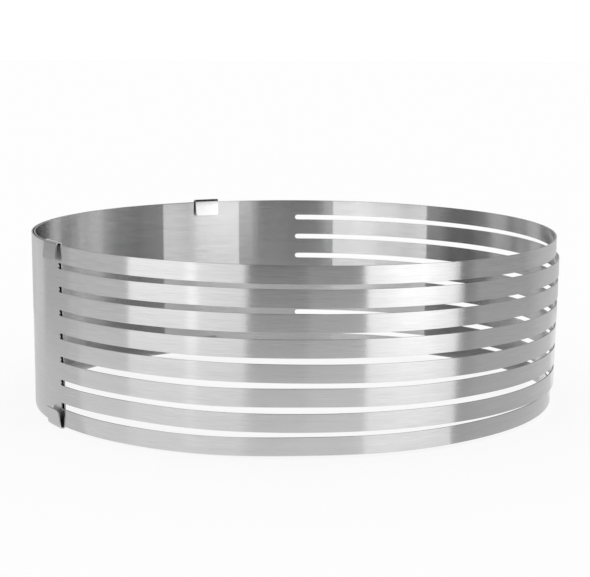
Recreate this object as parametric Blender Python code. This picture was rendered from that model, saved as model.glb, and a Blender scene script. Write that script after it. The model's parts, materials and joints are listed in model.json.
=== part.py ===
"""Adjustable cake slicing ring: one strip of spring steel, rolled into a ring that laps over itself.

Seven long knife slots split the strip into eight bands. Two folded clips at each end of the strip
hold the two laps together, so the ring can be let out or drawn in. The strip bends all along its
length, so it is modelled as twenty short stretches joined by upright hinges at mid-thickness.

Metres, +Z up, seen from above: the front is -Y and the lap is on the left, around -X.
The strip is followed from the end that lies inside the lap. A turn is an angle travelled along it.
"""

import math

import bmesh
import bpy

MM = 0.001
DEGREE = math.pi / 180
FULL_TURN = 2 * math.pi

# Driving sizes of the strip
RING_DIAMETER = 240 * MM
DIAMETER_TRAVEL = 58 * MM
BAND_HEIGHT = 78.5 * MM
SHEET = 0.6 * MM
LAP_GAP = 0.5 * MM
SLOT_HEIGHT = 2.3 * MM
SLOT_COUNT = 7

# Where the strip starts and where its slots lie, with the ring drawn in
INNER_END_BEARING = 213 * DEGREE
# Plain strip between the outer end's edge and the slots' rear ends
REAR_LAND = 41.5 * MM
# The slots' front ends run this far over the inner end
SLOT_END_LAP = 1.1 * MM

# How the strip is split into stretches that bend at their seams
INNER_LAP_STRETCHES = 7
SLOTTED_STRETCHES = 5
OUTER_LAP_STRETCHES = 6
COMB_FINGER = 23 * MM
CLIP_TO_SEAM = 1 * MM
SEAM = 0.3 * MM
FACET_TURN = 3 * DEGREE

# The folded clips
CLIP_WIDTH = 12.5 * MM
CLIP_LEG_DROP = 7 * MM
CLIP_LEG_CLEARANCE = 0.7 * MM
CLIP_EDGE_CLEARANCE = 0.8 * MM
CLIP_ROOT = 1 * MM
CLIP_BUTT_GAP = 0.3 * MM
CLIP_FLARE = 6 * DEGREE
CLIP_CORNER_RADIUS = 1.5 * MM
# Strip left between the two ends' clips when the ring is let out
CLIP_STOP_GAP = 8.3 * MM

# Roundness of the small arcs
FOLD_FACETS = 8
CORNER_FACETS = 4
SLOT_END_FACETS = 8
SMOOTH_BELOW = 40 * DEGREE
# Passes that settle a chord's turn on the spiral
CHORD_PASSES = 20

# Steel, as it looks
BAND_COLOUR = (0.62, 0.62, 0.61)
BAND_ROUGHNESS = 0.32
CLIP_COLOUR = (0.68, 0.68, 0.67)
CLIP_ROUGHNESS = 0.24

# Sizes that follow
PITCH = SHEET + LAP_GAP
FOLD_BORE = (LAP_GAP + SHEET + CLIP_LEG_CLEARANCE) / 2
FOLD_RADIUS = FOLD_BORE + SHEET / 2
FOLD_TURN = math.pi - CLIP_FLARE
# The fold's centre lies this far outside the band's edge, and its crown this far
FOLD_CENTRE_RISE = CLIP_EDGE_CLEARANCE - FOLD_BORE
FOLD_CROWN_RISE = CLIP_EDGE_CLEARANCE + SHEET
CLIP_ROOT_RISE = FOLD_CENTRE_RISE - CLIP_ROOT
CLIP_NOTCH_RISE = CLIP_ROOT_RISE - CLIP_BUTT_GAP
BOTTOM_EDGE = FOLD_CROWN_RISE
TOP_EDGE = BOTTOM_EDGE + BAND_HEIGHT
BAND_PITCH = (BAND_HEIGHT + SLOT_HEIGHT) / (SLOT_COUNT + 1)
BAND_WIDTH = BAND_PITCH - SLOT_HEIGHT
# A spiral is half a pitch wider half a turn on, so its pole stands a quarter pitch off the middle
POLE = (PITCH / 4, PITCH / 4)


class Spiral:
    """The strip's middle surface seen from above: its radius grows by one pitch in a full turn."""

    def __init__(self, outer_diameter):
        self.growth = PITCH / FULL_TURN
        right_side = INNER_END_BEARING
        left_side = right_side + math.pi
        widest = self.growth * (right_side + left_side) + SHEET
        self.first_radius = (outer_diameter - widest) / 2

    def radius(self, turn):
        return self.first_radius + self.growth * turn

    def point(self, turn, offset=0):
        """The place at a turn, and at an offset out of the middle surface."""
        bearing = INNER_END_BEARING - turn
        reach = self.radius(turn) + offset
        return POLE[0] + reach * math.cos(bearing), POLE[1] + reach * math.sin(bearing)

    def length(self, turn):
        return self.first_radius * turn + self.growth * turn**2 / 2

    def turn_at(self, length):
        reach = math.sqrt(self.first_radius**2 + 2 * self.growth * length)
        return (reach - self.first_radius) / self.growth

    def chord(self, turn, next_turn):
        return math.dist(self.point(turn), self.point(next_turn))

    def turn_past_chord(self, turn, chord, way):
        """The turn reached from another one by a straight chord, forwards (way 1) or back (way -1)."""
        near = self.radius(turn)
        step = way * chord / near
        for _ in range(CHORD_PASSES):
            far = near + self.growth * step
            half_sine = math.sqrt((chord**2 - (far - near) ** 2) / (4 * near * far))
            step = way * 2 * math.asin(half_sine)
        return turn + step

    def bend(self, before, here, after):
        """How much the direction of travel changes at a seam, positive anticlockwise."""
        a, b, c = self.point(before), self.point(here), self.point(after)
        arriving = math.atan2(b[1] - a[1], b[0] - a[0])
        leaving = math.atan2(c[1] - b[1], c[0] - b[0])
        return math.remainder(leaving - arriving, FULL_TURN)


DRAWN_IN = Spiral(RING_DIAMETER)
LET_OUT = Spiral(RING_DIAMETER + DIAMETER_TRAVEL)
STRIP_LENGTH = LET_OUT.length(FULL_TURN) + 2 * CLIP_WIDTH + CLIP_STOP_GAP
WHOLE_TURN = DRAWN_IN.turn_at(STRIP_LENGTH)
LAP_TURN = WHOLE_TURN - FULL_TURN
# Lengths along the strip
LAP_FINISH = DRAWN_IN.length(LAP_TURN)
OUTER_LAP_START = DRAWN_IN.length(FULL_TURN)
SLOTS_START = LAP_FINISH + REAR_LAND
SLOTS_FINISH = OUTER_LAP_START + SLOT_END_LAP


def spread(first, last, count):
    """The ends of a number of equal stretches, without the first one."""
    return [first + (last - first) * k / count for k in range(1, count + 1)]


def seam_lengths():
    """Where the stretches meet along the strip, with the strip's own two ends."""
    first_arc = SLOTS_START + COMB_FINGER
    last_arc = SLOTS_FINISH - COMB_FINGER
    front_land = OUTER_LAP_START + CLIP_WIDTH + CLIP_TO_SEAM
    lengths = [0]
    lengths += spread(0, LAP_FINISH, INNER_LAP_STRETCHES)
    lengths += [first_arc]
    lengths += spread(first_arc, last_arc, SLOTTED_STRETCHES)
    lengths += [front_land]
    lengths += spread(front_land, STRIP_LENGTH, OUTER_LAP_STRETCHES)
    return lengths


def stretch_names():
    """One name for each stretch, from the inner end to the outer end."""
    names = [f"inner_lap_{k}" for k in range(1, INNER_LAP_STRETCHES + 1)]
    names += ["rear_slot_end"]
    names += [f"slotted_arc_{k}" for k in range(1, SLOTTED_STRETCHES + 1)]
    names += ["front_slot_end"]
    names += [f"outer_lap_{k}" for k in range(1, OUTER_LAP_STRETCHES + 1)]
    return names


SEAMS = seam_lengths()
SEAM_TURNS = [DRAWN_IN.turn_at(length) for length in SEAMS]
STRETCHES = stretch_names()
REAR_SLOT_END = INNER_LAP_STRETCHES
FIRST_ARC = REAR_SLOT_END + 1
FRONT_SLOT_END = FIRST_ARC + SLOTTED_STRETCHES
STILL_STRETCH = FIRST_ARC + SLOTTED_STRETCHES // 2


def open_seam_turns():
    """The same seams on the ring let out, walking both ways from the stretch that stays still."""
    turns = {STILL_STRETCH: SEAM_TURNS[STILL_STRETCH]}
    for k in range(STILL_STRETCH, len(STRETCHES)):
        chord = DRAWN_IN.chord(SEAM_TURNS[k], SEAM_TURNS[k + 1])
        turns[k + 1] = LET_OUT.turn_past_chord(turns[k], chord, 1)
    for k in range(STILL_STRETCH - 1, -1, -1):
        chord = DRAWN_IN.chord(SEAM_TURNS[k], SEAM_TURNS[k + 1])
        turns[k] = LET_OUT.turn_past_chord(turns[k + 1], chord, -1)
    return [turns[k] for k in range(len(SEAM_TURNS))]


def flex_angles():
    """How far each seam straightens from drawn in to let out, keyed by the seam's number."""
    opened = open_seam_turns()
    angles = {}
    for k in range(1, len(SEAM_TURNS) - 1):
        closed_bend = DRAWN_IN.bend(*SEAM_TURNS[k - 1 : k + 2])
        open_bend = LET_OUT.bend(*opened[k - 1 : k + 2])
        angles[k] = open_bend - closed_bend
    return angles


def stretch_lengths(stretch):
    """Where a stretch starts and finishes along the strip, clear of its seams."""
    last = len(STRETCHES) - 1
    start = SEAMS[stretch] + (SEAM / 2 if stretch > 0 else 0)
    finish = SEAMS[stretch + 1] - (SEAM / 2 if stretch < last else 0)
    return start, finish


def bend_lines(stretch):
    """Where a stretch's flat blank bends from one facet to the next."""
    start, finish = stretch_lengths(stretch)
    turn = SEAM_TURNS[stretch + 1] - SEAM_TURNS[stretch]
    facets = max(round(turn / FACET_TURN), 1)
    return spread(start, finish, facets)[:-1]


def rolled(length, height, offset):
    """Puts a point of the flat strip on the ring."""
    x, y = DRAWN_IN.point(DRAWN_IN.turn_at(length), offset)
    return x, y, height


def rectangle(start, finish, low, high):
    return [(start, low), (finish, low), (finish, high), (start, high)]


def arc(centre, radius, first_angle, last_angle, facets):
    """Points along an arc in the flat, both ends with it."""
    points = []
    for k in range(facets + 1):
        angle = first_angle + (last_angle - first_angle) * k / facets
        points.append((centre[0] + radius * math.cos(angle), centre[1] + radius * math.sin(angle)))
    return points


def steel(name, colour, roughness):
    material = bpy.data.materials.new(name)
    material.use_nodes = True
    shader = material.node_tree.nodes["Principled BSDF"]
    shader.inputs["Base Color"].default_value = (*colour, 1)
    shader.inputs["Metallic"].default_value = 1
    shader.inputs["Roughness"].default_value = roughness
    return material


def bent_sheet(name, outline, length_lines, width_lines, place, hinge, finish):
    """Cuts a flat blank from sheet, scores it along its bend lines, and bends it with place()."""
    blank = bmesh.new()
    corners = [blank.verts.new((length, -SHEET / 2, width)) for length, width in outline]
    face = blank.faces.new(corners)
    pushed = bmesh.ops.extrude_face_region(blank, geom=[face])["geom"]
    moved = [item for item in pushed if isinstance(item, bmesh.types.BMVert)]
    bmesh.ops.translate(blank, verts=moved, vec=(0, SHEET, 0))
    cuts = [((length, 0, 0), (1, 0, 0)) for length in length_lines]
    cuts += [((0, 0, width), (0, 0, 1)) for width in width_lines]
    for place_of_cut, way_of_cut in cuts:
        geometry = blank.verts[:] + blank.edges[:] + blank.faces[:]
        bmesh.ops.bisect_plane(blank, geom=geometry, plane_co=place_of_cut, plane_no=way_of_cut)
    bmesh.ops.triangulate(blank, faces=blank.faces[:])
    bmesh.ops.recalc_face_normals(blank, faces=blank.faces[:])
    origin = hinge.matrix_world.translation
    for vert in blank.verts:
        length, depth, width = vert.co
        x, y, z = place(length, depth, width)
        vert.co = (x - origin.x, y - origin.y, z - origin.z)
    if blank.calc_volume(signed=True) < 0:
        bmesh.ops.reverse_faces(blank, faces=blank.faces[:])
    mesh = bpy.data.meshes.new(name)
    blank.to_mesh(mesh)
    blank.free()
    mesh.shade_smooth()
    mesh.set_sharp_from_angle(angle=SMOOTH_BELOW)
    mesh.materials.append(steel(f"{name}_steel", *finish))
    sheet = bpy.data.objects.new(name, mesh)
    sheet.parent = hinge
    bpy.context.scene.collection.objects.link(sheet)
    return sheet


def band_sheet(name, outline, stretch, hinge):
    """A flat outline of lengths and heights, rolled onto the ring."""

    def place(length, depth, height):
        return rolled(length, height, depth)

    return bent_sheet(
        name, outline, bend_lines(stretch), [], place, hinge, (BAND_COLOUR, BAND_ROUGHNESS)
    )


def hinge_empty(stretch, parent, angles):
    """An empty on the upright axis at which a stretch bends against its neighbour."""
    empty = bpy.data.objects.new(f"{STRETCHES[stretch]}_hinge", None)
    empty.empty_display_size = BAND_WIDTH
    bpy.context.scene.collection.objects.link(empty)
    if parent is None:
        return empty
    outward = stretch > STILL_STRETCH
    seam = stretch if outward else stretch + 1
    x, y = DRAWN_IN.point(SEAM_TURNS[seam])
    at = parent.matrix_world.translation
    empty.parent = parent
    empty.location = (x - at.x, y - at.y, -at.z)
    empty["parent_stretch"] = parent["stretch"]
    empty["axis_z"] = 1.0 if outward else -1.0
    empty["flex_degrees"] = angles[seam] / DEGREE
    return empty


def hinge_chain():
    """The upright hinges, from the still stretch on the right out to the strip's two ends."""
    angles = flex_angles()
    hinges = {}
    order = list(range(STILL_STRETCH, len(STRETCHES))) + list(range(STILL_STRETCH - 1, -1, -1))
    for stretch in order:
        nearer = stretch - 1 if stretch > STILL_STRETCH else stretch + 1
        parent = hinges.get(nearer) if stretch != STILL_STRETCH else None
        hinges[stretch] = hinge_empty(stretch, parent, angles)
        hinges[stretch]["stretch"] = STRETCHES[stretch]
        bpy.context.view_layer.update()
    return hinges


def plain_outline(stretch):
    """The flat outline of a plain stretch. The strip's two end stretches are notched for the clips."""
    start, finish = stretch_lengths(stretch)
    if 0 < stretch < len(STRETCHES) - 1:
        return rectangle(start, finish, BOTTOM_EDGE, TOP_EDGE)
    low = BOTTOM_EDGE - CLIP_NOTCH_RISE
    high = TOP_EDGE + CLIP_NOTCH_RISE
    notch = CLIP_WIDTH + CLIP_BUTT_GAP
    tip, shoulder, far = (start, start + notch, finish)
    if stretch > 0:
        tip, shoulder, far = (finish, finish - notch, start)
    return [
        (tip, low),
        (shoulder, low),
        (shoulder, BOTTOM_EDGE),
        (far, BOTTOM_EDGE),
        (far, TOP_EDGE),
        (shoulder, TOP_EDGE),
        (shoulder, high),
        (tip, high),
    ]


def slot_end_outline(stretch):
    """The flat outline of a comb: solid on one side, with the slots' round ends cut into the other."""
    start, finish = stretch_lengths(stretch)
    if stretch == REAR_SLOT_END:
        solid, fingers, way = start, finish, 1
        slot_tip = SLOTS_START
    else:
        solid, fingers, way = finish, start, -1
        slot_tip = SLOTS_FINISH
    radius = SLOT_HEIGHT / 2
    below = -math.pi / 2
    outline = [(solid, BOTTOM_EDGE), (fingers, BOTTOM_EDGE)]
    for slot in range(1, SLOT_COUNT + 1):
        middle = BOTTOM_EDGE + slot * BAND_PITCH - radius
        centre = (slot_tip + way * radius, middle)
        outline += [(fingers, middle - radius)]
        outline += arc(centre, radius, below, below - way * math.pi, SLOT_END_FACETS)
        outline += [(fingers, middle + radius)]
    outline += [(fingers, TOP_EDGE), (solid, TOP_EDGE)]
    return outline


def plain_stretches(hinges):
    for stretch, name in enumerate(STRETCHES):
        if "lap" in name:
            band_sheet(name, plain_outline(stretch), stretch, hinges[stretch])


def slot_ends(hinges):
    for stretch in (REAR_SLOT_END, FRONT_SLOT_END):
        band_sheet(STRETCHES[stretch], slot_end_outline(stretch), stretch, hinges[stretch])


def slotted_bands(hinges):
    """The eight narrow bands between and outside the knife slots, band 1 at the top."""
    for arc_number in range(1, SLOTTED_STRETCHES + 1):
        stretch = FIRST_ARC + arc_number - 1
        start, finish = stretch_lengths(stretch)
        for band in range(1, SLOT_COUNT + 2):
            high = TOP_EDGE - (band - 1) * BAND_PITCH
            outline = rectangle(start, finish, high - BAND_WIDTH, high)
            band_sheet(f"band_{band}_arc_{arc_number}", outline, stretch, hinges[stretch])


def clip_profile(width, depth):
    """Bends the clip's flat width up the root, over the fold and down the leg.

    Gives the way out of the band's middle surface and the rise over the band's edge.
    """
    along_fold = width - CLIP_ROOT
    angle = min(max(along_fold / FOLD_RADIUS, 0), FOLD_TURN)
    along_leg = max(along_fold - FOLD_RADIUS * FOLD_TURN, 0)
    along_root = min(along_fold, 0)
    reach = FOLD_RADIUS + depth
    out = FOLD_RADIUS - reach * math.cos(angle) + along_leg * math.sin(angle)
    rise = FOLD_CENTRE_RISE + along_root + reach * math.sin(angle) + along_leg * math.cos(angle)
    return out, rise


def clip(name, stretch, top, hinge):
    """A tab folded over the other lap's edge, outwards at the inner end and inwards at the outer."""
    at_inner_end = stretch == 0
    side = 1 if at_inner_end else -1
    tip = 0 if at_inner_end else STRIP_LENGTH
    shoulder = tip + side * CLIP_WIDTH
    leg = (CLIP_LEG_DROP + FOLD_CENTRE_RISE) / math.cos(CLIP_FLARE)
    fold = FOLD_RADIUS * FOLD_TURN
    whole = CLIP_ROOT + fold + leg
    low, high = min(tip, shoulder), max(tip, shoulder)
    radius = CLIP_CORNER_RADIUS
    outline = [(low, 0), (high, 0)]
    outline += arc((high - radius, whole - radius), radius, 0, math.pi / 2, CORNER_FACETS)
    outline += arc((low + radius, whole - radius), radius, math.pi / 2, math.pi, CORNER_FACETS)
    folds = [CLIP_ROOT] + spread(CLIP_ROOT, CLIP_ROOT + fold, FOLD_FACETS)

    def place(length, depth, width):
        out, rise = clip_profile(width, depth)
        height = TOP_EDGE + rise if top else BOTTOM_EDGE - rise
        return rolled(length, height, side * out)

    inside = [line for line in bend_lines(stretch) if low < line < high]
    finish = (CLIP_COLOUR, CLIP_ROUGHNESS)
    bent_sheet(name, outline, inside, folds, place, hinge, finish)


def clips(hinges):
    last = len(STRETCHES) - 1
    clip("inner_end_clip_top", 0, True, hinges[0])
    clip("inner_end_clip_bottom", 0, False, hinges[0])
    clip("outer_end_clip_top", last, True, hinges[last])
    clip("outer_end_clip_bottom", last, False, hinges[last])


def main():
    for old in list(bpy.data.objects):
        bpy.data.objects.remove(old)
    hinges = hinge_chain()
    plain_stretches(hinges)
    slot_ends(hinges)
    slotted_bands(hinges)
    clips(hinges)


main()
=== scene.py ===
"""Looks of an adjustable cake slicing ring: one rolled strip of brushed spring steel.

The strip is cut flat, with its knife slots, and then rolled up by a Geometry Nodes tree. It is
made in runs that each reach across one of the part's hinges. Metres, +Z up, the front is -Y. A
length is measured along the strip from the end that lies inside the lap.
"""

import json
import math

import bmesh
import bpy
from bpy.props import FloatProperty, FloatVectorProperty, IntProperty, PointerProperty
from mathutils import Matrix, Vector

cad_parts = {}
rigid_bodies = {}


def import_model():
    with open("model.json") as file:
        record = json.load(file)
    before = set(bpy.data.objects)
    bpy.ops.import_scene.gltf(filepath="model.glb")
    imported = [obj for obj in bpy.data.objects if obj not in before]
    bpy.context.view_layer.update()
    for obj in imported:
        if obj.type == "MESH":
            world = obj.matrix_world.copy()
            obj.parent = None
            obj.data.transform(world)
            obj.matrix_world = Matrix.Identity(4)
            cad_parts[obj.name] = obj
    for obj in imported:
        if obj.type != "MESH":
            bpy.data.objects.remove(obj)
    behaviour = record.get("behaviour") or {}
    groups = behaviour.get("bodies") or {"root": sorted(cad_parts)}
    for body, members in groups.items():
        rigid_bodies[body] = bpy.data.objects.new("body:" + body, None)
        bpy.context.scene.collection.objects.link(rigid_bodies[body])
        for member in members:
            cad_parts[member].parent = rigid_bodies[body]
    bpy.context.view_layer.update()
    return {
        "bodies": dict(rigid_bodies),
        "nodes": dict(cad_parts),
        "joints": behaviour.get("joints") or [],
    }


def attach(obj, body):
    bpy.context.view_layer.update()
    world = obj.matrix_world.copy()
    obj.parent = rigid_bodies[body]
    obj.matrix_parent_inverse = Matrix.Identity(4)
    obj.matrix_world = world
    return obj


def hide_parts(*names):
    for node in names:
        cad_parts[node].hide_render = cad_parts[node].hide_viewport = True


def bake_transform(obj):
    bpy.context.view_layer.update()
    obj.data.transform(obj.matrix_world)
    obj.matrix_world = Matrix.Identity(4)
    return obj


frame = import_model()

bl_info = {
    "name": "Cake slicing ring",
    "version": (1, 0, 0),
    "blender": (4, 5, 0),
    "location": "3D View > Sidebar > Slicing ring",
    "description": "Rolls an adjustable cake slicing ring from a flat slotted strip",
    "category": "Add Mesh",
}

MM = 0.001
DEGREE = math.pi / 180
FULL_TURN = 2 * math.pi
# Places closer together than this are the same place
TOUCH = 0.001 * MM

# How the narrow bands sag and spring between the slots' ends. Each row is a band, from the top one
# down: its lift in millimetres at even steps from the slots' rear ends to their front ends.
BAND_LIFTS = [
    [0, -0.1, -0.5, -0.8, -1.25, -1.7, -2.2, -1.95, -1.45, -0.9, -0.55, -0.3, 0],
    [0, -0.1, -0.25, -0.4, -0.7, -1.0, -1.2, -0.95, -0.65, -0.25, 0, -0.1, 0],
    [0, 0, -0.2, -0.4, -0.55, -0.65, -0.75, -0.6, -0.45, 0, 0.05, 0, 0],
    [0, -0.1, -0.3, -0.45, -0.65, -0.85, -1.1, -0.85, -0.5, -0.15, -0.15, 0, 0],
    [0, 0, -0.15, -0.3, -0.5, -0.8, -1.1, -1.05, -0.75, -0.15, 0, 0.15, 0],
    [0, 0, 0, 0, -0.05, -0.2, -0.3, -0.2, -0.4, 0.2, -0.2, 0.15, 0],
    [0, 0, 0, 0, 0, -0.1, -0.25, -0.25, -0.1, -0.05, -0.1, 0.35, 0],
    [0, 0.2, 0.5, 1.0, 1.5, 1.5, 1.1, 0.8, 0.3, 0.4, -0.3, -0.2, 0],
]
# How far each band stands out from the ring, in millimetres, halfway between the slots' ends
BAND_BULGES = [-0.9, 0.65, 0.45, 0.25, 0, -0.15, -0.35, -1.8]

# The strip's map, and the attributes that say how far a point lifts and how far it stands out
MAP_NAME = "strip"
LIFT = "lift"
BULGE = "bulge"
OFFSETS = (LIFT, BULGE)


def length_property(name, description, millimetres):
    return FloatProperty(
        name=name, description=description, default=millimetres * MM, unit="LENGTH", precision=5
    )


def angle_property(name, description, degrees):
    return FloatProperty(
        name=name, description=description, default=degrees * DEGREE, subtype="ANGLE"
    )


def share_property(name, description, value):
    return FloatProperty(
        name=name, description=description, default=value, min=0, max=1, subtype="FACTOR"
    )


def colour_property(name, description, colour):
    return FloatVectorProperty(
        name=name, description=description, default=colour, size=3, min=0, max=1, subtype="COLOR"
    )


class StripSizes(bpy.types.PropertyGroup):
    diameter: length_property("Diameter", "Across the ring when it is drawn in", 240)
    height: length_property("Height", "Height of the strip", 78.5)
    bottom: length_property("Bottom edge", "How far the strip's edge clears the table", 1.4)
    sheet: length_property("Sheet", "Thickness of the steel", 0.6)
    lap_gap: length_property("Lap gap", "Space between the two laps", 0.5)
    slot_height: length_property("Slot height", "Height of a knife slot", 2.5)
    slot_count: IntProperty(name="Slots", description="Number of knife slots", default=7, min=1)
    inner_end: angle_property("Inner end", "Bearing of the end inside the lap", 213.4)
    rear_slot_ends: angle_property("Rear slot ends", "Bearing of the slots' rear ends", 90.16)
    front_slot_ends: angle_property("Front slot ends", "Bearing of the slots' front ends", 212.9)
    facet: angle_property("Facet", "Turn of one facet of the rolled strip", 0.75)
    edge: length_property("Edge", "How far the cut edges are rounded", 0.08)
    taper: length_property("Taper", "How much further out the top is than mid-height", 0.23)
    squeeze: share_property("Squeeze", "How much of their sag and spring the bands show", 1)


class ClipSizes(bpy.types.PropertyGroup):
    width: length_property("Width", "Width of a clip along the strip", 12.8)
    root: length_property("Root", "Flat part of a clip below its fold", 1)
    drop: length_property("Drop", "How far a clip's leg reaches past the strip's edge", 7)
    clearance: length_property("Clearance", "Room beside the lap that the clip holds", 0.7)
    rise: length_property("Rise", "Room between the strip's edge and the fold", 0.8)
    flare: angle_property("Flare", "How far the leg opens away from the strip", 7.5)
    corner: length_property("Corner", "Radius of the leg's corners", 1.5)


class SteelLook(bpy.types.PropertyGroup):
    colour: colour_property("Colour", "Colour of the brushed steel", (0.6, 0.6, 0.6))
    clip_colour: colour_property("Clip colour", "Colour of the folded clips", (0.62, 0.62, 0.62))
    roughness: share_property("Roughness", "Roughness of the brushed face", 0.2)
    grain: share_property("Grain", "How much the brushing stretches reflections upright", 1)
    brushing: share_property("Brushing", "Depth of the fine brushing lines", 0.1)
    waviness: share_property("Waviness", "Depth of the long waves in the sheet", 0.08)


class StudioLook(bpy.types.PropertyGroup):
    floor_colour: colour_property("Floor", "Colour of the table top", (0.9, 0.9, 0.9))
    floor_glow: share_property("Floor glow", "How much the table top shows as plain white", 0.85)
    reach: length_property("Panel distance", "How far the panels stand from the middle", 300)
    lamp_reach: length_property("Lamp distance", "How far the lamps are from the middle", 113)
    # Painted shade: glossy rays see the table top inside the lamps' circle dimmed by this share, a
    # painted shadow on the table top that only the steel shows
    shade: share_property("Shade", "How dark the steel shows the table top inside the ring", 0.9)
    ceiling: length_property("Ceiling", "Height of the dark ceiling over the panels", 250)


def strip_sizes():
    return bpy.context.scene.ring_strip


def clip_sizes():
    return bpy.context.scene.ring_clips


def steel_look():
    return bpy.context.scene.ring_steel


def studio_look():
    return bpy.context.scene.ring_studio


class Spiral:
    """The strip's middle surface from above: its radius grows by one pitch in a full turn."""

    def __init__(self, sizes):
        self.pitch = sizes.sheet + sizes.lap_gap
        self.growth = self.pitch / FULL_TURN
        self.inner_end = sizes.inner_end
        widest = self.growth * (2 * sizes.inner_end + math.pi) + sizes.sheet
        self.first_radius = (sizes.diameter - widest) / 2
        self.pole = Vector((self.pitch / 4, self.pitch / 4, 0))

    def length(self, turn):
        return self.first_radius * turn + self.growth * turn**2 / 2

    def turn(self, length):
        reach = math.sqrt(self.first_radius**2 + 2 * self.growth * length)
        return (reach - self.first_radius) / self.growth

    def turn_after(self, earlier, bearing):
        """The first turn past an earlier one at which the strip has a bearing."""
        return earlier + (self.inner_end - bearing - earlier) % FULL_TURN

    def bearing_of(self, place):
        return math.atan2(place[1] - self.pole.y, place[0] - self.pole.x)

    def point(self, length, height):
        turn = self.turn(length)
        reach = self.first_radius + self.growth * turn
        bearing = self.inner_end - turn
        flat = Vector((reach * math.cos(bearing), reach * math.sin(bearing), height))
        return self.pole + flat


class Layout:
    """Where the stretches between the part's hinges meet, as lengths along the strip."""

    def __init__(self):
        sizes = strip_sizes()
        self.spiral = Spiral(sizes)
        self.stretches = stretch_names()
        self.seams = [0.0]
        turn = 0.0
        for here, after in zip(self.stretches, self.stretches[1:]):
            place = hinge_between(here, after)["pos_m"]
            turn = self.spiral.turn_after(turn, self.spiral.bearing_of(place))
            self.seams.append(self.spiral.length(turn))
        self.seams.append(self.far_end(turn))
        slot_turn = self.spiral.turn_after(0, sizes.rear_slot_ends)
        self.slots_start = self.spiral.length(slot_turn)
        slot_turn = self.spiral.turn_after(slot_turn, sizes.front_slot_ends)
        self.slots_finish = self.spiral.length(slot_turn)

    def far_end(self, last_turn):
        """The length at which the outer end of the strip is cut."""
        node = frame["nodes"][self.stretches[-1]]
        turns = [
            self.spiral.turn_after(last_turn, self.spiral.bearing_of(vert.co))
            for vert in node.data.vertices
        ]
        return self.spiral.length(max(turn for turn in turns if turn - last_turn < math.pi))

    def middle(self, stretch):
        return (self.seams[stretch] + self.seams[stretch + 1]) / 2

    def run(self, seam):
        """The run of strip that bends at a seam: where it starts and finishes."""
        last = len(self.stretches) - 1
        start = 0.0 if seam == 1 else self.middle(seam - 1)
        finish = self.seams[-1] if seam == last else self.middle(seam)
        return start, finish


def stretch_names():
    """The bodies of the part, from the strip's inner end to its outer end."""
    bodies = list(frame["bodies"])
    order = ["inner_lap_", "rear_slot_end", "slotted_arc_", "front_slot_end", "outer_lap_"]
    return [name for start in order for name in sorted(bodies) if name.startswith(start)]


def hinge_between(one, other):
    for joint in frame["joints"]:
        if {joint["parent"], joint["child"]} == {one, other}:
            return joint
    raise RuntimeError(f"no hinge joins {one} and {other}")


# Geometry Nodes


def maths(tree, operation, *values):
    """Adds one maths node and gives its result."""
    node = tree.nodes.new("ShaderNodeMath")
    node.operation = operation
    for socket, value in zip(node.inputs, values):
        if isinstance(value, bpy.types.NodeSocket):
            tree.links.new(value, socket)
        else:
            socket.default_value = value
    return node.outputs[0]


def named_attribute(tree, name):
    node = tree.nodes.new("GeometryNodeInputNamedAttribute")
    node.data_type = "FLOAT"
    node.inputs["Name"].default_value = name
    return node.outputs["Attribute"]


def new_shape_tree(name, inputs):
    """A tree with named number inputs. Gives the tree, its inputs and the split position."""
    tree = bpy.data.node_groups.new(name, "GeometryNodeTree")
    tree.interface.new_socket("Geometry", in_out="INPUT", socket_type="NodeSocketGeometry")
    for label in inputs:
        tree.interface.new_socket(label, in_out="INPUT", socket_type="NodeSocketFloat")
    tree.interface.new_socket("Steel", in_out="INPUT", socket_type="NodeSocketMaterial")
    tree.interface.new_socket("Geometry", in_out="OUTPUT", socket_type="NodeSocketGeometry")
    start = tree.nodes.new("NodeGroupInput")
    position = tree.nodes.new("GeometryNodeInputPosition")
    split = tree.nodes.new("ShaderNodeSeparateXYZ")
    tree.links.new(position.outputs[0], split.inputs[0])
    return tree, start.outputs, split.outputs


def finish_shape_tree(tree, given, x, y, z):
    """Moves every point to x, y, z and ends the tree."""
    join = tree.nodes.new("ShaderNodeCombineXYZ")
    for socket, value in zip(join.inputs, (x, y, z)):
        tree.links.new(value, socket)
    move = tree.nodes.new("GeometryNodeSetPosition")
    realize = tree.nodes.new("GeometryNodeRealizeInstances")
    paint = tree.nodes.new("GeometryNodeSetMaterial")
    end = tree.nodes.new("NodeGroupOutput")
    tree.links.new(given["Geometry"], move.inputs["Geometry"])
    tree.links.new(join.outputs[0], move.inputs["Position"])
    tree.links.new(move.outputs[0], realize.inputs[0])
    tree.links.new(realize.outputs[0], paint.inputs["Geometry"])
    tree.links.new(given["Steel"], paint.inputs["Material"])
    tree.links.new(paint.outputs[0], end.inputs[0])


ROLL_INPUTS = [
    "First radius", "Growth", "Inner end", "Pole", "Middle height", "Taper slope", "Squeeze",
]


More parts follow.
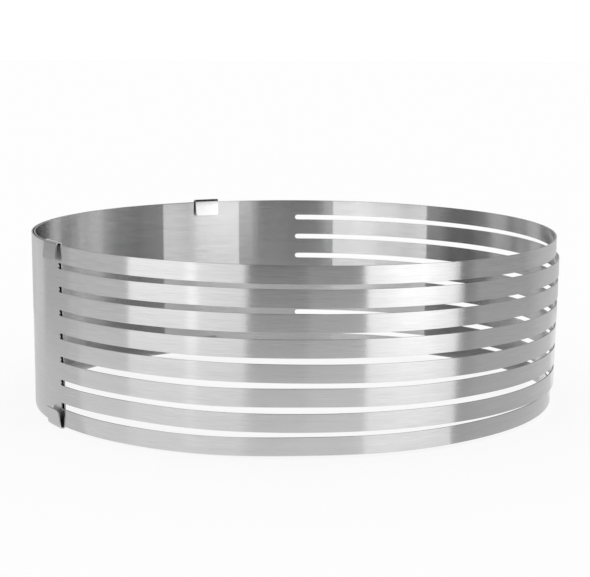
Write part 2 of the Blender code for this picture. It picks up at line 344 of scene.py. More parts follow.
def rolled_strip_tree():
    """Rolls a flat strip into the ring, with each point's own lift and bulge."""
    tree, given, flat = new_shape_tree("rolled strip", ROLL_INPUTS)
    length, depth, height = flat

    first_squared = maths(tree, "MULTIPLY", given["First radius"], given["First radius"])
    twice_growth = maths(tree, "MULTIPLY", given["Growth"], 2.0)
    grown = maths(tree, "MULTIPLY", twice_growth, length)
    reach = maths(tree, "SQRT", maths(tree, "ADD", first_squared, grown))
    past_first = maths(tree, "SUBTRACT", reach, given["First radius"])
    turn = maths(tree, "DIVIDE", past_first, given["Growth"])
    bearing = maths(tree, "SUBTRACT", given["Inner end"], turn)

    above_middle = maths(tree, "SUBTRACT", height, given["Middle height"])
    out = maths(tree, "MULTIPLY_ADD", above_middle, given["Taper slope"], reach)
    out = maths(tree, "ADD", out, depth)
    out = maths(tree, "MULTIPLY_ADD", named_attribute(tree, BULGE), given["Squeeze"], out)
    x = maths(tree, "MULTIPLY_ADD", out, maths(tree, "COSINE", bearing), given["Pole"])
    y = maths(tree, "MULTIPLY_ADD", out, maths(tree, "SINE", bearing), given["Pole"])
    z = maths(tree, "MULTIPLY_ADD", named_attribute(tree, LIFT), given["Squeeze"], height)
    finish_shape_tree(tree, given, x, y, z)
    return tree


FOLD_INPUTS = ["Fold radius", "Fold turn", "Root", "Centre rise", "Edge", "Side", "Way"]


def folded_tab_tree():
    """Folds a flat tab over the edge of the strip, still flat along its length.

    Side is 1 for a leg outside the ring and -1 for one inside. Way is 1 at the top and -1 below.
    """
    tree, given, flat = new_shape_tree("folded tab", FOLD_INPUTS)
    length, depth, width = flat

    along = maths(tree, "SUBTRACT", width, given["Root"])
    root = maths(tree, "MINIMUM", along, 0.0)
    angle = maths(tree, "DIVIDE", along, given["Fold radius"])
    angle = maths(tree, "MINIMUM", maths(tree, "MAXIMUM", angle, 0.0), given["Fold turn"])
    folded = maths(tree, "MULTIPLY", given["Fold radius"], given["Fold turn"])
    leg = maths(tree, "MAXIMUM", maths(tree, "SUBTRACT", along, folded), 0.0)
    reach = maths(tree, "ADD", given["Fold radius"], depth)
    sine = maths(tree, "SINE", angle)
    cosine = maths(tree, "COSINE", angle)

    out = maths(tree, "SUBTRACT", given["Fold radius"], maths(tree, "MULTIPLY", reach, cosine))
    out = maths(tree, "MULTIPLY_ADD", leg, sine, out)
    rise = maths(tree, "ADD", given["Centre rise"], root)
    rise = maths(tree, "MULTIPLY_ADD", reach, sine, rise)
    rise = maths(tree, "MULTIPLY_ADD", leg, cosine, rise)

    y = maths(tree, "MULTIPLY", out, given["Side"])
    z = maths(tree, "MULTIPLY_ADD", rise, given["Way"], given["Edge"])
    finish_shape_tree(tree, given, length, y, z)
    return tree


def shape_tree(name, build):
    return bpy.data.node_groups.get(name) or build()


def apply_tree(sheet, tree, values):
    """Adds the tree as a modifier and sets its inputs by their identifiers."""
    modifier = sheet.modifiers.new(tree.name, "NODES")
    modifier.node_group = tree
    for item in tree.interface.items_tree:
        if item.item_type == "SOCKET" and item.in_out == "INPUT" and item.name in values:
            modifier[item.identifier] = values[item.name]


def roll_values(layout, steel):
    spiral = layout.spiral
    sizes = strip_sizes()
    return {
        "First radius": spiral.first_radius,
        "Growth": spiral.growth,
        "Inner end": spiral.inner_end,
        "Pole": spiral.pole.x,
        "Middle height": sizes.bottom + sizes.height / 2,
        "Taper slope": sizes.taper / (sizes.height / 2),
        "Squeeze": sizes.squeeze,
        "Steel": steel,
    }


# Steel

# Patterns of the brushing: scale along the strip and up it, detail, and roughness of the noise
FINE_LINES = (90, 3000), 4, 0.6
BROAD_LINES = (8, 420), 3, 0.6
PATCHES = (30, 60), 3, 0.6
LONG_WAVES = (110, 9), 2, 0.5
# Noise hardly ever leaves this range
NOISE_LOW = 0.3
NOISE_HIGH = 0.7
# How much the lines change the colour, and how much lines and patches change the roughness
FINE_TONES = (0.94, 1.05)
BROAD_TONES = (0.98, 1.02)
ROUGHNESS_CHANGE = 0.02
# Depths of the bumps
WAVE_DEPTH = 0.4 * MM
LINE_DEPTH = 0.1 * MM
# Turns reflections from along the strip to upright
ACROSS_THE_STRIP = 0.25
# The Mix node's two colours and its result, by their places
MIX_FIRST = 6
MIX_SECOND = 7
MIX_RESULT = 2


def stretched_noise(tree, point, scale, detail, roughness):
    """Noise on the strip's own map, with its own scale along the length and the height."""
    mapping = tree.nodes.new("ShaderNodeMapping")
    mapping.inputs["Scale"].default_value = (*scale, 1)
    tree.links.new(point, mapping.inputs["Vector"])
    noise = tree.nodes.new("ShaderNodeTexNoise")
    noise.noise_dimensions = "2D"
    noise.inputs["Scale"].default_value = 1
    noise.inputs["Detail"].default_value = detail
    noise.inputs["Roughness"].default_value = roughness
    tree.links.new(mapping.outputs[0], noise.inputs["Vector"])
    return noise.outputs["Fac"]


def spread_between(tree, value, low, high):
    """Spreads a noise between two values."""
    node = tree.nodes.new("ShaderNodeMapRange")
    node.inputs["From Min"].default_value = NOISE_LOW
    node.inputs["From Max"].default_value = NOISE_HIGH
    node.inputs["To Min"].default_value = low
    node.inputs["To Max"].default_value = high
    tree.links.new(value, node.inputs["Value"])
    return node.outputs["Result"]


def bump(tree, height, strength, distance, below=None):
    node = tree.nodes.new("ShaderNodeBump")
    node.inputs["Strength"].default_value = strength
    node.inputs["Distance"].default_value = distance
    tree.links.new(height, node.inputs["Height"])
    if below is not None:
        tree.links.new(below, node.inputs["Normal"])
    return node.outputs["Normal"]


def brushed_steel(name, colour):
    """Steel brushed along the strip, with fine lines, soft patches and long waves."""
    found = bpy.data.materials.get(name)
    if found:
        return found
    look = steel_look()
    material = bpy.data.materials.new(name)
    material.use_nodes = True
    tree = material.node_tree
    shader = tree.nodes["Principled BSDF"]
    strip_map = tree.nodes.new("ShaderNodeUVMap")
    strip_map.uv_map = MAP_NAME
    point = strip_map.outputs[0]
    tangent = tree.nodes.new("ShaderNodeTangent")
    tangent.direction_type = "UV_MAP"
    tangent.uv_map = MAP_NAME

    lines = stretched_noise(tree, point, *FINE_LINES)
    bands = stretched_noise(tree, point, *BROAD_LINES)
    patches = stretched_noise(tree, point, *PATCHES)
    waves = stretched_noise(tree, point, *LONG_WAVES)

    mix = tree.nodes.new("ShaderNodeMix")
    mix.data_type = "RGBA"
    mix.blend_type = "MULTIPLY"
    mix.inputs["Factor"].default_value = 1
    mix.inputs[MIX_FIRST].default_value = (*colour, 1)
    broad_tone = spread_between(tree, bands, *BROAD_TONES)
    fine_tone = spread_between(tree, lines, *FINE_TONES)
    tree.links.new(maths(tree, "MULTIPLY", broad_tone, fine_tone), mix.inputs[MIX_SECOND])
    tree.links.new(mix.outputs[MIX_RESULT], shader.inputs["Base Color"])

    smoother, rougher = look.roughness - ROUGHNESS_CHANGE, look.roughness + ROUGHNESS_CHANGE
    in_lines = spread_between(tree, lines, -ROUGHNESS_CHANGE, ROUGHNESS_CHANGE)
    in_patches = spread_between(tree, patches, smoother, rougher)
    tree.links.new(maths(tree, "ADD", in_lines, in_patches), shader.inputs["Roughness"])
    shader.inputs["Metallic"].default_value = 1
    shader.inputs["Anisotropic"].default_value = look.grain
    shader.inputs["Anisotropic Rotation"].default_value = ACROSS_THE_STRIP
    tree.links.new(tangent.outputs[0], shader.inputs["Tangent"])

    wavy = bump(tree, waves, look.waviness, WAVE_DEPTH)
    normal = bump(tree, lines, look.brushing, LINE_DEPTH, wavy)
    tree.links.new(normal, shader.inputs["Normal"])
    return material


# Flat blanks

# Length of the narrow facet at each end of a run
END_FACET = 0.1 * MM
# Facets of a rounded cut edge, a slot's round end, a clip's corner and a clip's fold
EDGE_FACETS = 2
SLOT_END_FACETS = 16
CORNER_FACETS = 8
FOLD_FACETS = 24
# Profile of a round bevel
ROUND = 0.5
# An edge that crosses more than this share of the sheet isn't part of the outline
CROSSING_SHARE = 0.1
# A face with more corners is split into triangles
MOST_CORNERS = 4
# Two faces that meet at more than this angle keep a sharp edge
SHARP_ABOVE = 15 * DEGREE


def rectangle(start, finish, low, high):
    return [(start, low), (finish, low), (finish, high), (start, high)]


def arc(centre, radius, first_angle, last_angle, facets):
    points = []
    for k in range(facets + 1):
        angle = first_angle + (last_angle - first_angle) * k / facets
        points.append((centre[0] + radius * math.cos(angle), centre[1] + radius * math.sin(angle)))
    return points


def spread(first, last, count):
    """The places between two ends at equal steps, without the ends."""
    return [first + (last - first) * k / count for k in range(1, count)]


def roll_lines(layout, start, finish):
    """Where a blank bends. A narrow facet at each end keeps the shine unbroken from run to run."""
    step = strip_sizes().facet
    first = math.ceil(layout.spiral.turn(start + 2 * END_FACET) / step)
    last = math.floor(layout.spiral.turn(finish - 2 * END_FACET) / step)
    lines = [layout.spiral.length(k * step) for k in range(first, last + 1)]
    return [start + END_FACET, *lines, finish - END_FACET]


def flat_sheet(name, outline, length_lines, width_lines, joined):
    """Cuts a blank from sheet, rounds its cut edges and scores it where it bends.

    No edge is rounded where joined(length, width) says that the next piece carries on.
    """
    sizes = strip_sizes()
    blank = bmesh.new()
    corners = [blank.verts.new((length, -sizes.sheet / 2, width)) for length, width in outline]
    face = blank.faces.new(corners)
    pushed = bmesh.ops.extrude_face_region(blank, geom=[face])["geom"]
    moved = [item for item in pushed if isinstance(item, bmesh.types.BMVert)]
    bmesh.ops.translate(blank, verts=moved, vec=(0, sizes.sheet, 0))
    bmesh.ops.recalc_face_normals(blank, faces=blank.faces[:])
    rims = [edge for edge in blank.edges if is_cut_edge(edge, joined)]
    bmesh.ops.bevel(
        blank, geom=rims, offset=sizes.edge, segments=EDGE_FACETS, profile=ROUND,
        affect="EDGES", clamp_overlap=True,
    )
    cuts = [((length, 0, 0), (1, 0, 0)) for length in length_lines]
    cuts += [((0, 0, width), (0, 0, 1)) for width in width_lines]
    for place, way in cuts:
        geometry = blank.verts[:] + blank.edges[:] + blank.faces[:]
        bmesh.ops.bisect_plane(blank, geom=geometry, plane_co=place, plane_no=way)
    large = [face for face in blank.faces if len(face.verts) > MOST_CORNERS]
    bmesh.ops.triangulate(blank, faces=large)
    return blank


def is_cut_edge(edge, joined):
    """Whether an edge runs along the blank's outline and the blank really ends there."""
    one, other = (vert.co for vert in edge.verts)
    if abs(one.y - other.y) > CROSSING_SHARE * strip_sizes().sheet:
        return False
    middle = (one + other) / 2
    return not joined(middle.x, middle.z)


def blank_object(name, blank, offsets, map_height):
    """Makes the blank an object, with its map and how far each point is lifted and bulged."""
    grid = blank.loops.layers.uv.new(MAP_NAME)
    for face in blank.faces:
        for loop in face.loops:
            place = loop.vert.co
            loop[grid].uv = (place.x, map_height(place.z))
    mesh = bpy.data.meshes.new(name)
    blank.to_mesh(mesh)
    blank.free()
    for label, values in zip(OFFSETS, zip(*offsets(mesh))):
        attribute = mesh.attributes.new(label, "FLOAT", "POINT")
        attribute.data.foreach_set("value", values)
    sheet = bpy.data.objects.new(name, mesh)
    bpy.context.scene.collection.objects.link(sheet)
    return sheet


def plain_piece(sheet, name):
    """The evaluated sheet as a plain mesh of its own, smooth but for its cut edges."""
    depsgraph = bpy.context.evaluated_depsgraph_get()
    mesh = bpy.data.meshes.new_from_object(
        sheet.evaluated_get(depsgraph), preserve_all_data_layers=True, depsgraph=depsgraph
    )
    bpy.data.objects.remove(sheet)
    mesh.name = name
    facing = bmesh.new()
    facing.from_mesh(mesh)
    if facing.calc_volume(signed=True) < 0:
        bmesh.ops.reverse_faces(facing, faces=facing.faces[:])
    facing.to_mesh(mesh)
    facing.free()
    mesh.shade_smooth()
    mesh.set_sharp_from_angle(angle=SHARP_ABOVE)
    for label in OFFSETS:
        mesh.attributes.remove(mesh.attributes[label])
    piece = bpy.data.objects.new(name, mesh)
    bpy.context.scene.collection.objects.link(piece)
    return piece


def band_pitch():
    """From one narrow band to the next one."""
    sizes = strip_sizes()
    return (sizes.height + sizes.slot_height) / (sizes.slot_count + 1)


def band_edges(band):
    """The low and the high edge of a narrow band, band 1 at the top."""
    sizes = strip_sizes()
    high = sizes.bottom + sizes.height - (band - 1) * band_pitch()
    return high - (band_pitch() - sizes.slot_height), high


def band_at(height):
    """The number of the band at or nearest to a height."""
    sizes = strip_sizes()
    top = sizes.bottom + sizes.height + sizes.slot_height / 2
    band = int((top - height) / band_pitch()) + 1
    return min(max(band, 1), sizes.slot_count + 1)


def eased(stations, share):
    """A smooth curve through values at even steps, read at a share of its length."""
    last = len(stations) - 1
    place = min(max(share, 0), 1) * last
    k = min(int(place), last - 1)
    before, here, after, beyond = (stations[min(max(k + n, 0), last)] for n in (-1, 0, 1, 2))
    t = place - k
    leaving = (after - before) / 2
    arriving = (beyond - here) / 2
    step = after - here
    return here + t * leaving + t**2 * (3 * step - 2 * leaving - arriving) + t**3 * (
        leaving + arriving - 2 * step
    )


def band_offsets(layout, mesh):
    """For each point of a blank, how far the band that it belongs to lifts and bulges there."""
    whole = layout.slots_finish - layout.slots_start
    offsets = []
    for vert in mesh.vertices:
        band = band_at(vert.co.z) - 1
        share = min(max((vert.co.x - layout.slots_start) / whole, 0), 1)
        swell = (1 - math.cos(share * FULL_TURN)) / 2
        lift = eased(BAND_LIFTS[band], share)
        offsets.append((lift * MM, swell * BAND_BULGES[band] * MM))
    return offsets


def roll_piece(layout, name, outline, start, finish):
    """Cuts a run of the strip and rolls it on to the ring."""
    whole = layout.seams[-1]

    def joined(length, _height):
        at_start = start > 0 and length < start + TOUCH
        at_finish = finish < whole and length > finish - TOUCH
        return at_start or at_finish

    blank = flat_sheet(name, outline, roll_lines(layout, start, finish), [], joined)
    sheet = blank_object(
        name, blank, lambda mesh: band_offsets(layout, mesh), lambda height: height
    )
    steel = brushed_steel("brushed strip steel", steel_look().colour)
    tree = shape_tree("rolled strip", rolled_strip_tree)
    apply_tree(sheet, tree, roll_values(layout, steel))
    return plain_piece(sheet, name)


def bend_at(layout, piece, seam):
    """Bakes a run's placement into its mesh. It works out where the run meets its seam's two
    stretches at mid-height, but does nothing more with these points.
    """
    middle_height = strip_sizes().bottom + strip_sizes().height / 2
    start = layout.spiral.point(layout.middle(seam - 1), middle_height)
    end = layout.spiral.point(layout.middle(seam), middle_height)
    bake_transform(piece)


def nodes_on(layout, seam, band=None):
    """The CAD nodes that a run stands for: half of the stretch on each side of its seam."""
    nodes = []
    for stretch in layout.stretches[seam - 1 : seam + 1]:
        if stretch in frame["nodes"]:
            nodes.append(stretch)
            continue
        number = stretch.rsplit("_", 1)[1]
        bands = range(1, strip_sizes().slot_count + 2) if band is None else [band]
        nodes += [f"band_{k}_arc_{number}" for k in bands]
    return nodes


def end_notched(layout, outline_start, outline_finish):
    """The outline of a run at one end of the strip, cut away where a clip's root joins it."""
    sizes, clip = strip_sizes(), clip_sizes()
    low, high = sizes.bottom, sizes.bottom + sizes.height
    root = clip_root_depth()
    if outline_start == 0:
        tip, shoulder, far = 0.0, clip.width, outline_finish
    else:
        tip, shoulder, far = outline_finish, outline_finish - clip.width, outline_start
    return [
        (tip, low + root), (shoulder, low + root), (shoulder, low), (far, low),
        (far, high), (shoulder, high), (shoulder, high - root), (tip, high - root),
    ]


def seams_where(layout, wanted):
    """The seams whose runs are of a wanted kind: plain, slot ends or narrow bands."""
    found = []
    for seam in range(1, len(layout.stretches)):
        start, finish = layout.run(seam)
        if finish <= layout.slots_start or start >= layout.slots_finish:
            kind = "plain"
        elif start > layout.slots_start and finish < layout.slots_finish:
            kind = "bands"
        else:
            kind = "slot ends"
        if kind == wanted:
            found.append(seam)
    return found


class RollPlainLaps(bpy.types.Operator):
    """Roll the plain parts of the strip, inside and outside the lap"""

    bl_idname = "slicing_ring.roll_plain_laps"
    bl_label = "Roll plain laps"

    def execute(self, context):
        layout = Layout()
        sizes = strip_sizes()
        for seam in seams_where(layout, "plain"):
            start, finish = layout.run(seam)
            outline = rectangle(start, finish, sizes.bottom, sizes.bottom + sizes.height)
            if start == 0 or finish == layout.seams[-1]:
                outline = end_notched(layout, start, finish)
            side = "inner" if finish <= layout.slots_start else "outer"
            piece = roll_piece(layout, f"{side}_lap_run_{seam}", outline, start, finish)
            bend_at(layout, piece, seam)
            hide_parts(*nodes_on(layout, seam))
        return {"FINISHED"}


class RollSlotEnds(bpy.types.Operator):
    """Roll the two places where the knife slots end, each like a comb"""

    bl_idname = "slicing_ring.roll_slot_ends"
    bl_label = "Roll slot ends"

    def execute(self, context):
        layout = Layout()
        rear, front = seams_where(layout, "slot ends")
        self.comb(layout, rear, "rear_slot_ends", layout.slots_start, 1)
        self.comb(layout, front, "front_slot_ends", layout.slots_finish, -1)
        return {"FINISHED"}

    def comb(self, layout, seam, name, slot_tip, way):
        """Way is 1 where the slots run on past their tips, and -1 where they come up to them."""
        sizes = strip_sizes()
        start, finish = layout.run(seam)
        solid, fingers = (start, finish) if way == 1 else (finish, start)
        radius = sizes.slot_height / 2
        below = -math.pi / 2
        top = sizes.bottom + sizes.height
        outline = [(solid, sizes.bottom), (fingers, sizes.bottom)]
        for band in range(sizes.slot_count + 1, 1, -1):
            low = band_edges(band)[1]
            high = low + sizes.slot_height
            centre = (slot_tip + way * radius, low + radius)
            outline += [(fingers, low)]
            outline += arc(centre, radius, below, below - way * math.pi, SLOT_END_FACETS)
            outline += [(fingers, high)]
        outline += [(fingers, top), (solid, top)]
        piece = roll_piece(layout, name, outline, start, finish)
        bend_at(layout, piece, seam)
        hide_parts(*nodes_on(layout, seam))


class RollBands(bpy.types.Operator):
    """Roll the narrow bands between and outside the knife slots"""

    bl_idname = "slicing_ring.roll_bands"
    bl_label = "Roll narrow bands"

    def execute(self, context):
        layout = Layout()
        for run, seam in enumerate(seams_where(layout, "bands"), start=1):
            start, finish = layout.run(seam)
            for band in range(1, strip_sizes().slot_count + 2):
                outline = rectangle(start, finish, *band_edges(band))
                name = f"band_{band}_run_{run}"
                piece = roll_piece(layout, name, outline, start, finish)
                bend_at(layout, piece, seam)
                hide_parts(*nodes_on(layout, seam, band))
        return {"FINISHED"}


def fold_bore():
    """Radius of the inside of a clip's fold, wide enough for the lap that it holds."""
    sizes = strip_sizes()
    return (sizes.lap_gap + sizes.sheet + clip_sizes().clearance) / 2


def clip_root_depth():
    """How far below the strip's edge a clip's root starts."""
    clip = clip_sizes()
    return clip.root - (clip.rise - fold_bore())


class FoldClips(bpy.types.Operator):
    """Fold the four clips that hold the two laps together"""

    bl_idname = "slicing_ring.fold_clips"
    bl_label = "Fold clips"

    def execute(self, context):
        layout = Layout()
        bodies = {"inner": layout.stretches[0], "outer": layout.stretches[-1]}
        for end, body in bodies.items():
            for place in ("top", "bottom"):
                node = f"{end}_end_clip_{place}"
                clip = self.fold(layout, f"{end}_clip_{place}", end == "inner", place == "top")
                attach(clip, body)
                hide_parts(node)
        return {"FINISHED"}

    def fold(self, layout, name, at_inner_end, top):
        sizes, clip = strip_sizes(), clip_sizes()
        fold_radius = fold_bore() + sizes.sheet / 2
        fold_turn = math.pi - clip.flare
        centre_rise = clip.rise - fold_bore()
        fold = fold_radius * fold_turn
        leg = (clip.drop + centre_rise) / math.cos(clip.flare)
        whole = clip.root + fold + leg
        low = 0.0 if at_inner_end else layout.seams[-1] - clip.width
        high = low + clip.width
        outline = [(low, 0), (high, 0)]
        corner, quarter = clip.corner, math.pi / 2
        level = whole - corner
        outline += arc((high - corner, level), corner, 0, quarter, CORNER_FACETS)
        outline += arc((low + corner, level), corner, quarter, math.pi, CORNER_FACETS)
        folded = clip.root + fold
        folds = [clip.root, *spread(clip.root, folded, FOLD_FACETS), folded]
        rolls = roll_lines(layout, low, high)
        blank = flat_sheet(name, outline, rolls, folds, lambda _length, width: width < TOUCH)
        edge = sizes.bottom + sizes.height if top else sizes.bottom
        sheet = blank_object(
            name, blank, lambda mesh: [(0.0, 0.0)] * len(mesh.vertices), lambda width: edge + width
        )
        steel = brushed_steel("brushed clip steel", steel_look().clip_colour)
        values = {
            "Fold radius": fold_radius,
            "Fold turn": fold_turn,
            "Root": clip.root,
            "Centre rise": centre_rise,
            "Edge": edge,
            "Side": 1.0 if at_inner_end else -1.0,
            "Way": 1.0 if top else -1.0,
            "Steel": steel,
        }
        apply_tree(sheet, shape_tree("folded tab", folded_tab_tree), values)
        tree = shape_tree("rolled strip", rolled_strip_tree)
        apply_tree(sheet, tree, roll_values(layout, steel))
        return plain_piece(sheet, name)


# Studio

# Panels that stand round the ring: first and last bearing in degrees, from and to which height in
# millimetres, and how bright each is at its first and last end
PANELS = [
    ("behind", 20, 140, 0, 250, 0.65, 0.65),
    ("far left, low", 140, 155, 0, 60, 0.76, 0.76),
    ("far left, high", 140, 155, 60, 250, 0.5, 0.5),
    ("left, low", 155, 178, 0, 70, 0.56, 0.62),
    ("left, high", 155, 178, 70, 250, 0.38, 0.42),
    ("near left", 178, 210.5, 0, 250, 0.7, 0.7),
    ("front left, low", 210.5, 233.5, 0, 34, 1.16, 1.2),
    ("front left, high", 210.5, 233.5, 34, 250, 1.52, 1.46),
    ("front left, bright line", 233.5, 237.2, 0, 250, 1.65, 1.65),
    ("front left, right half, low", 237.2, 254, 0, 40, 1.28, 1.1),
    ("front left, right half, high", 237.2, 255, 40, 250, 1.28, 1.14),
    ("front, left half, low", 254, 274, 0, 40, 0.42, 0.42),
    ("front, left half, middle", 255, 274, 40, 55, 0.42, 0.42),
    ("front, left half, high", 255, 274, 55, 250, 0.03, 0.03),
    ("front, right half, low", 274, 293.4, 0, 55, 0.56, 0.62),
    ("front, right half, high", 274, 293.4, 55, 250, 0.1, 0.1),
    ("front right edge", 293.4, 305, 0, 250, 1.42, 1.75),
    ("front right", 305, 317, 0, 250, 1.8, 1.82),
    ("front right far edge, low", 317, 327.6, 0, 30, 1.7, 1.45),
    ("front right far edge", 317, 329.3, 30, 250, 1.7, 1.45),
    ("right, near edge, low", 327.6, 336, 0, 30, 0.38, 0.5),
    ("right, near edge", 329.3, 336, 30, 250, 0.16, 0.34),
    ("right, low", 336, 366, 0, 30, 0.56, 0.56),
    ("right", 336, 366, 30, 250, 0.45, 0.43),
    ("right, far edge", 366, 380, 0, 250, 0.5, 0.65),
]
# Strip lamps that light the inside of the ring: first and last bearing in degrees, from and to
# which height in millimetres, and how bright each is
LAMPS = [
    ("right lamp", 28, 38, 0, 80, 0.03),
    ("rear right lamp", 57.3, 80.9, 42, 80, 0.54),
    ("rear right lamp, low", 57.3, 81, 0, 42, 0.38),
    ("rear right lamp, foot", 57.3, 81, 0, 18, 0.6),
    ("rear lamp", 81, 103.4, 42, 80, 0.09),
    ("rear lamp, low", 81, 103.4, 0, 42, 0.31),
    ("rear lamp, foot", 81, 103.4, 0, 18, 0.34),
    ("rear left lamp", 103.6, 123, 42, 80, 0.46),
    ("rear left lamp, low", 103.4, 123, 0, 42, 0.27),
    ("left lamp", 147, 151.5, 0, 80, 0.07),
]
# Sheets that lie on the table top: first and last bearing at the ring and at the panels, and how
# bright each is at its first and last side
SHEETS = [
    ("sheet on the left", 180, 222, 130, 183, 0.7, 0.78),
    ("sheet at the front right", 284.3, 304.2, 293.8, 327.6, 1.12, 1.06),
    ("sheet on the right", 304.2, 358, 327.6, 396, 0.56, 0.78),
]
# The attribute that says how bright a card is
GLOW = "glow"
# How many metres the table top reaches from the middle
TABLE_REACH = 6.0
# How many degrees one part of a panel turns through
PANEL_STEP = 2
# The sheets start just outside the ring, a little above the table top
SHEET_START = 121 * MM
SHEET_LIFT = 0.2 * MM
SHEET_PARTS = 12
# The ceiling is a disc with a pinhole in its middle
CEILING_PARTS = 60
CEILING_HOLE = 1 * MM
CEILING_STRENGTH = 0.03
# Watts of a square metre of lamp that is as bright as a card with a strength of 1
LAMP_WATTS = 4
# The camera's sensor and lens, in millimetres
SENSOR_WIDTH = 36
LENS = 107.67


def glow_material(name):
    """Shines as brightly as the mesh's own glow attribute says."""
    material = bpy.data.materials.new(name)
    material.use_nodes = True
    tree = material.node_tree
    tree.nodes.clear()
    strength = tree.nodes.new("ShaderNodeAttribute")
    strength.attribute_name = GLOW
    glow = tree.nodes.new("ShaderNodeEmission")
    glow.inputs["Color"].default_value = (1, 1, 1, 1)
    end = tree.nodes.new("ShaderNodeOutputMaterial")
    tree.links.new(strength.outputs["Fac"], glow.inputs["Strength"])
    tree.links.new(glow.outputs[0], end.inputs["Surface"])
    return material


def seen_plainly(tree):
    """1 for what the camera, a mirror or glass looks at, 0 for light that only falls on things."""
    path = tree.nodes.new("ShaderNodeLightPath")
    glossy = maths(tree, "MAXIMUM", path.outputs["Is Camera Ray"], path.outputs["Is Glossy Ray"])
    return maths(tree, "MAXIMUM", glossy, path.outputs["Is Transmission Ray"])


def floor_material():
    look = studio_look()
    material = bpy.data.materials.new("pale table top")
    material.use_nodes = True
    tree = material.node_tree
    tree.nodes.clear()
    matt = tree.nodes.new("ShaderNodeBsdfDiffuse")
    matt.inputs["Color"].default_value = (*look.floor_colour, 1)
    glow = tree.nodes.new("ShaderNodeEmission")
    glow.inputs["Color"].default_value = (1, 1, 1, 1)
    place = tree.nodes.new("ShaderNodeTexCoord")
    reach = tree.nodes.new("ShaderNodeVectorMath")
    reach.operation = "LENGTH"
    tree.links.new(place.outputs["Object"], reach.inputs[0])
    # Painted shade: inside the lamps' circle, glossy rays see the table top's glow dimmed by the
    # shade, so the steel reflects a painted shadow there that the camera never sees
    inside = maths(tree, "LESS_THAN", reach.outputs["Value"], look.lamp_reach)
    path = tree.nodes.new("ShaderNodeLightPath")
    shade = maths(tree, "MULTIPLY", inside, path.outputs["Is Glossy Ray"])
    shade = maths(tree, "MULTIPLY", shade, look.shade)
    tree.links.new(maths(tree, "SUBTRACT", 1, shade), glow.inputs["Strength"])
    mix = tree.nodes.new("ShaderNodeMixShader")
    share = maths(tree, "MULTIPLY", seen_plainly(tree), look.floor_glow)
    end = tree.nodes.new("ShaderNodeOutputMaterial")
    tree.links.new(share, mix.inputs["Fac"])
    tree.links.new(matt.outputs[0], mix.inputs[1])
    tree.links.new(glow.outputs[0], mix.inputs[2])
    tree.links.new(mix.outputs[0], end.inputs["Surface"])
    return material


def even_shares(count):
    """The shares of a whole at the ends of its equal parts."""
    return [k / count for k in range(count + 1)]


def between(first, last, share):
    return first + (last - first) * share


def on_circle(radius, bearing, height):
    return (radius * math.cos(bearing), radius * math.sin(bearing), height)


def glowing_strip(name, lower, upper, strengths, material):
    """A card between two rows of points, with a strength for each pair of points."""
    strip = bmesh.new()
    glow = strip.verts.layers.float.new(GLOW)
    columns = []
    for low, high, strength in zip(lower, upper, strengths):
        pair = strip.verts.new(low), strip.verts.new(high)
        for corner in pair:
            corner[glow] = strength
        columns.append(pair)
    for (a, b), (c, d) in zip(columns, columns[1:]):
        strip.faces.new((a, b, d, c))
    mesh = bpy.data.meshes.new(name)
    strip.to_mesh(mesh)
    strip.free()
    mesh.materials.append(material)
    card = bpy.data.objects.new(name, mesh)
    bpy.context.scene.collection.objects.link(card)
    return card


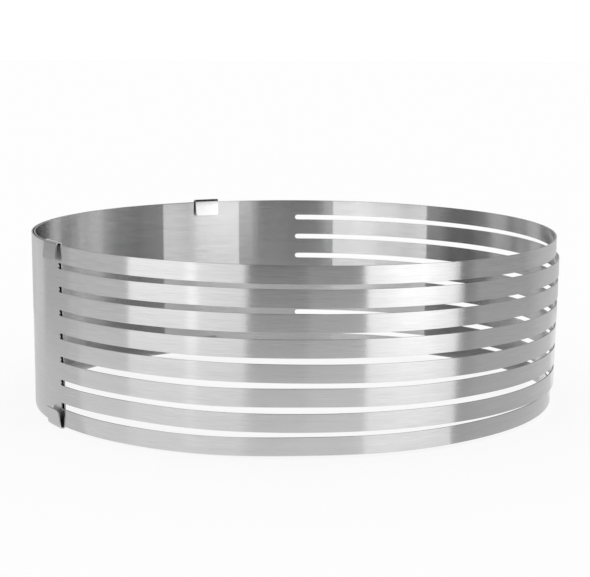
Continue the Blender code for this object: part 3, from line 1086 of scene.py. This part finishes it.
class SetStage(bpy.types.Operator):
    """Set the table top, the panels round it, the light and the camera"""

    bl_idname = "slicing_ring.set_stage"
    bl_label = "Set stage"

    def execute(self, context):
        self.floor()
        self.panels()
        self.lamps(context)
        self.sheets()
        self.ceiling()
        self.daylight(context)
        self.camera(context)
        context.scene.view_settings.view_transform = "Standard"
        return {"FINISHED"}

    def floor(self):
        reach = TABLE_REACH
        plane = bmesh.new()
        corners = [(*corner, 0) for corner in rectangle(-reach, reach, -reach, reach)]
        plane.faces.new([plane.verts.new(corner) for corner in corners])
        mesh = bpy.data.meshes.new("table_top")
        plane.to_mesh(mesh)
        plane.free()
        mesh.materials.append(floor_material())
        floor = bpy.data.objects.new("table_top", mesh)
        bpy.context.scene.collection.objects.link(floor)

    def panels(self):
        look = studio_look()
        glow = glow_material("panel glow")
        for name, first, last, low, high, start, end in PANELS:
            shares = even_shares(max(round((last - first) / PANEL_STEP), 1))
            bearings = [between(first, last, share) * DEGREE for share in shares]
            lower = [on_circle(look.reach, bearing, low * MM) for bearing in bearings]
            upper = [on_circle(look.reach, bearing, high * MM) for bearing in bearings]
            strengths = [between(start, end, share) for share in shares]
            self.show_in_steel_alone(glowing_strip(name, lower, upper, strengths, glow))

    def lamps(self, context):
        reach = studio_look().lamp_reach
        for name, first, last, low, high, strength in LAMPS:
            bearing = (first + last) / 2 * DEGREE
            half_turn = (last - first) / 2 * DEGREE
            lamp = bpy.data.lights.new(name, "AREA")
            lamp.shape = "RECTANGLE"
            lamp.size = 2 * reach * math.sin(half_turn)
            lamp.size_y = (high - low) * MM
            lamp.energy = LAMP_WATTS * lamp.size * lamp.size_y * strength
            placed = bpy.data.objects.new(name, lamp)
            side = Vector((math.sin(bearing), -math.cos(bearing), 0))
            up = Vector((0, 0, 1))
            turn = Matrix((side, up, side.cross(up))).transposed()
            middle = (low + high) / 2 * MM
            place = Vector(on_circle(reach * math.cos(half_turn), bearing, middle))
            placed.matrix_world = Matrix.Translation(place) @ turn.to_4x4()
            placed.visible_camera = False
            placed.visible_diffuse = False
            context.scene.collection.objects.link(placed)

    def sheets(self):
        look = studio_look()
        glow = glow_material("sheet glow")
        shares = even_shares(SHEET_PARTS)

        def side(radius, first, last):
            bearings = [between(first, last, share) * DEGREE for share in shares]
            return [on_circle(radius, bearing, SHEET_LIFT) for bearing in bearings]

        for name, near_first, near_last, far_first, far_last, start, end in SHEETS:
            inner = side(SHEET_START, near_first, near_last)
            outer = side(look.reach, far_first, far_last)
            strengths = [between(start, end, share) for share in shares]
            self.show_in_steel_alone(glowing_strip(name, inner, outer, strengths, glow))

    def ceiling(self):
        look = studio_look()
        glow = glow_material("ceiling glow")
        turns = [share * FULL_TURN for share in even_shares(CEILING_PARTS)]
        inner = [on_circle(CEILING_HOLE, turn, look.ceiling) for turn in turns]
        outer = [on_circle(look.reach, turn, look.ceiling) for turn in turns]
        strengths = [CEILING_STRENGTH] * len(turns)
        self.show_in_steel_alone(glowing_strip("ceiling", inner, outer, strengths, glow))

    def show_in_steel_alone(self, card):
        """A card that the steel reflects, and that casts neither light nor shadow."""
        card.visible_camera = False
        card.visible_diffuse = False
        card.visible_shadow = False

    def daylight(self, context):
        world = bpy.data.worlds.new("white studio")
        world.use_nodes = True
        background = world.node_tree.nodes["Background"]
        background.inputs["Color"].default_value = (1, 1, 1, 1)
        background.inputs["Strength"].default_value = 1
        context.scene.world = world

    def camera(self, context):
        distance = 817.35 * MM
        elevation = 8.833 * DEGREE
        roll = 0.18 * DEGREE
        target = Vector((0.04 * MM, 0, 51.372 * MM))
        back = Vector((0, -math.cos(elevation), math.sin(elevation)))
        right = Vector((1, 0, 0))
        up = back.cross(right)
        rolled_right = right * math.cos(roll) + up * math.sin(roll)
        rolled_up = up * math.cos(roll) - right * math.sin(roll)
        camera = bpy.data.objects.new("camera", bpy.data.cameras.new("camera"))
        camera.data.sensor_width = SENSOR_WIDTH
        camera.data.lens = LENS
        turn = Matrix((rolled_right, rolled_up, back)).transposed()
        camera.matrix_world = Matrix.Translation(target + back * distance) @ turn.to_4x4()
        context.scene.collection.objects.link(camera)
        context.scene.camera = camera


class SlicingRingPanel(bpy.types.Panel):
    """Lists the steps that make the slicing ring"""

    bl_idname = "VIEW3D_PT_slicing_ring"
    bl_label = "Cake slicing ring"
    bl_space_type = "VIEW_3D"
    bl_region_type = "UI"
    bl_category = "Slicing ring"

    def draw(self, context):
        for operator in OPERATORS:
            self.layout.operator(operator.bl_idname)
        scene = context.scene
        for group in (scene.ring_strip, scene.ring_clips, scene.ring_steel, scene.ring_studio):
            box = self.layout.box()
            for name in group.__annotations__:
                box.prop(group, name)


OPERATORS = [RollPlainLaps, RollSlotEnds, RollBands, FoldClips, SetStage]
CLASSES = [StripSizes, ClipSizes, SteelLook, StudioLook, *OPERATORS, SlicingRingPanel]


def register():
    for cls in CLASSES:
        bpy.utils.register_class(cls)
    bpy.types.Scene.ring_strip = PointerProperty(type=StripSizes)
    bpy.types.Scene.ring_clips = PointerProperty(type=ClipSizes)
    bpy.types.Scene.ring_steel = PointerProperty(type=SteelLook)
    bpy.types.Scene.ring_studio = PointerProperty(type=StudioLook)


def unregister():
    del bpy.types.Scene.ring_studio
    del bpy.types.Scene.ring_steel
    del bpy.types.Scene.ring_clips
    del bpy.types.Scene.ring_strip
    for cls in reversed(CLASSES):
        bpy.utils.unregister_class(cls)


def main():
    register()
    bpy.ops.slicing_ring.roll_plain_laps()
    bpy.ops.slicing_ring.roll_slot_ends()
    bpy.ops.slicing_ring.roll_bands()
    bpy.ops.slicing_ring.fold_clips()
    bpy.ops.slicing_ring.set_stage()


if __name__ == "__main__":
    main()
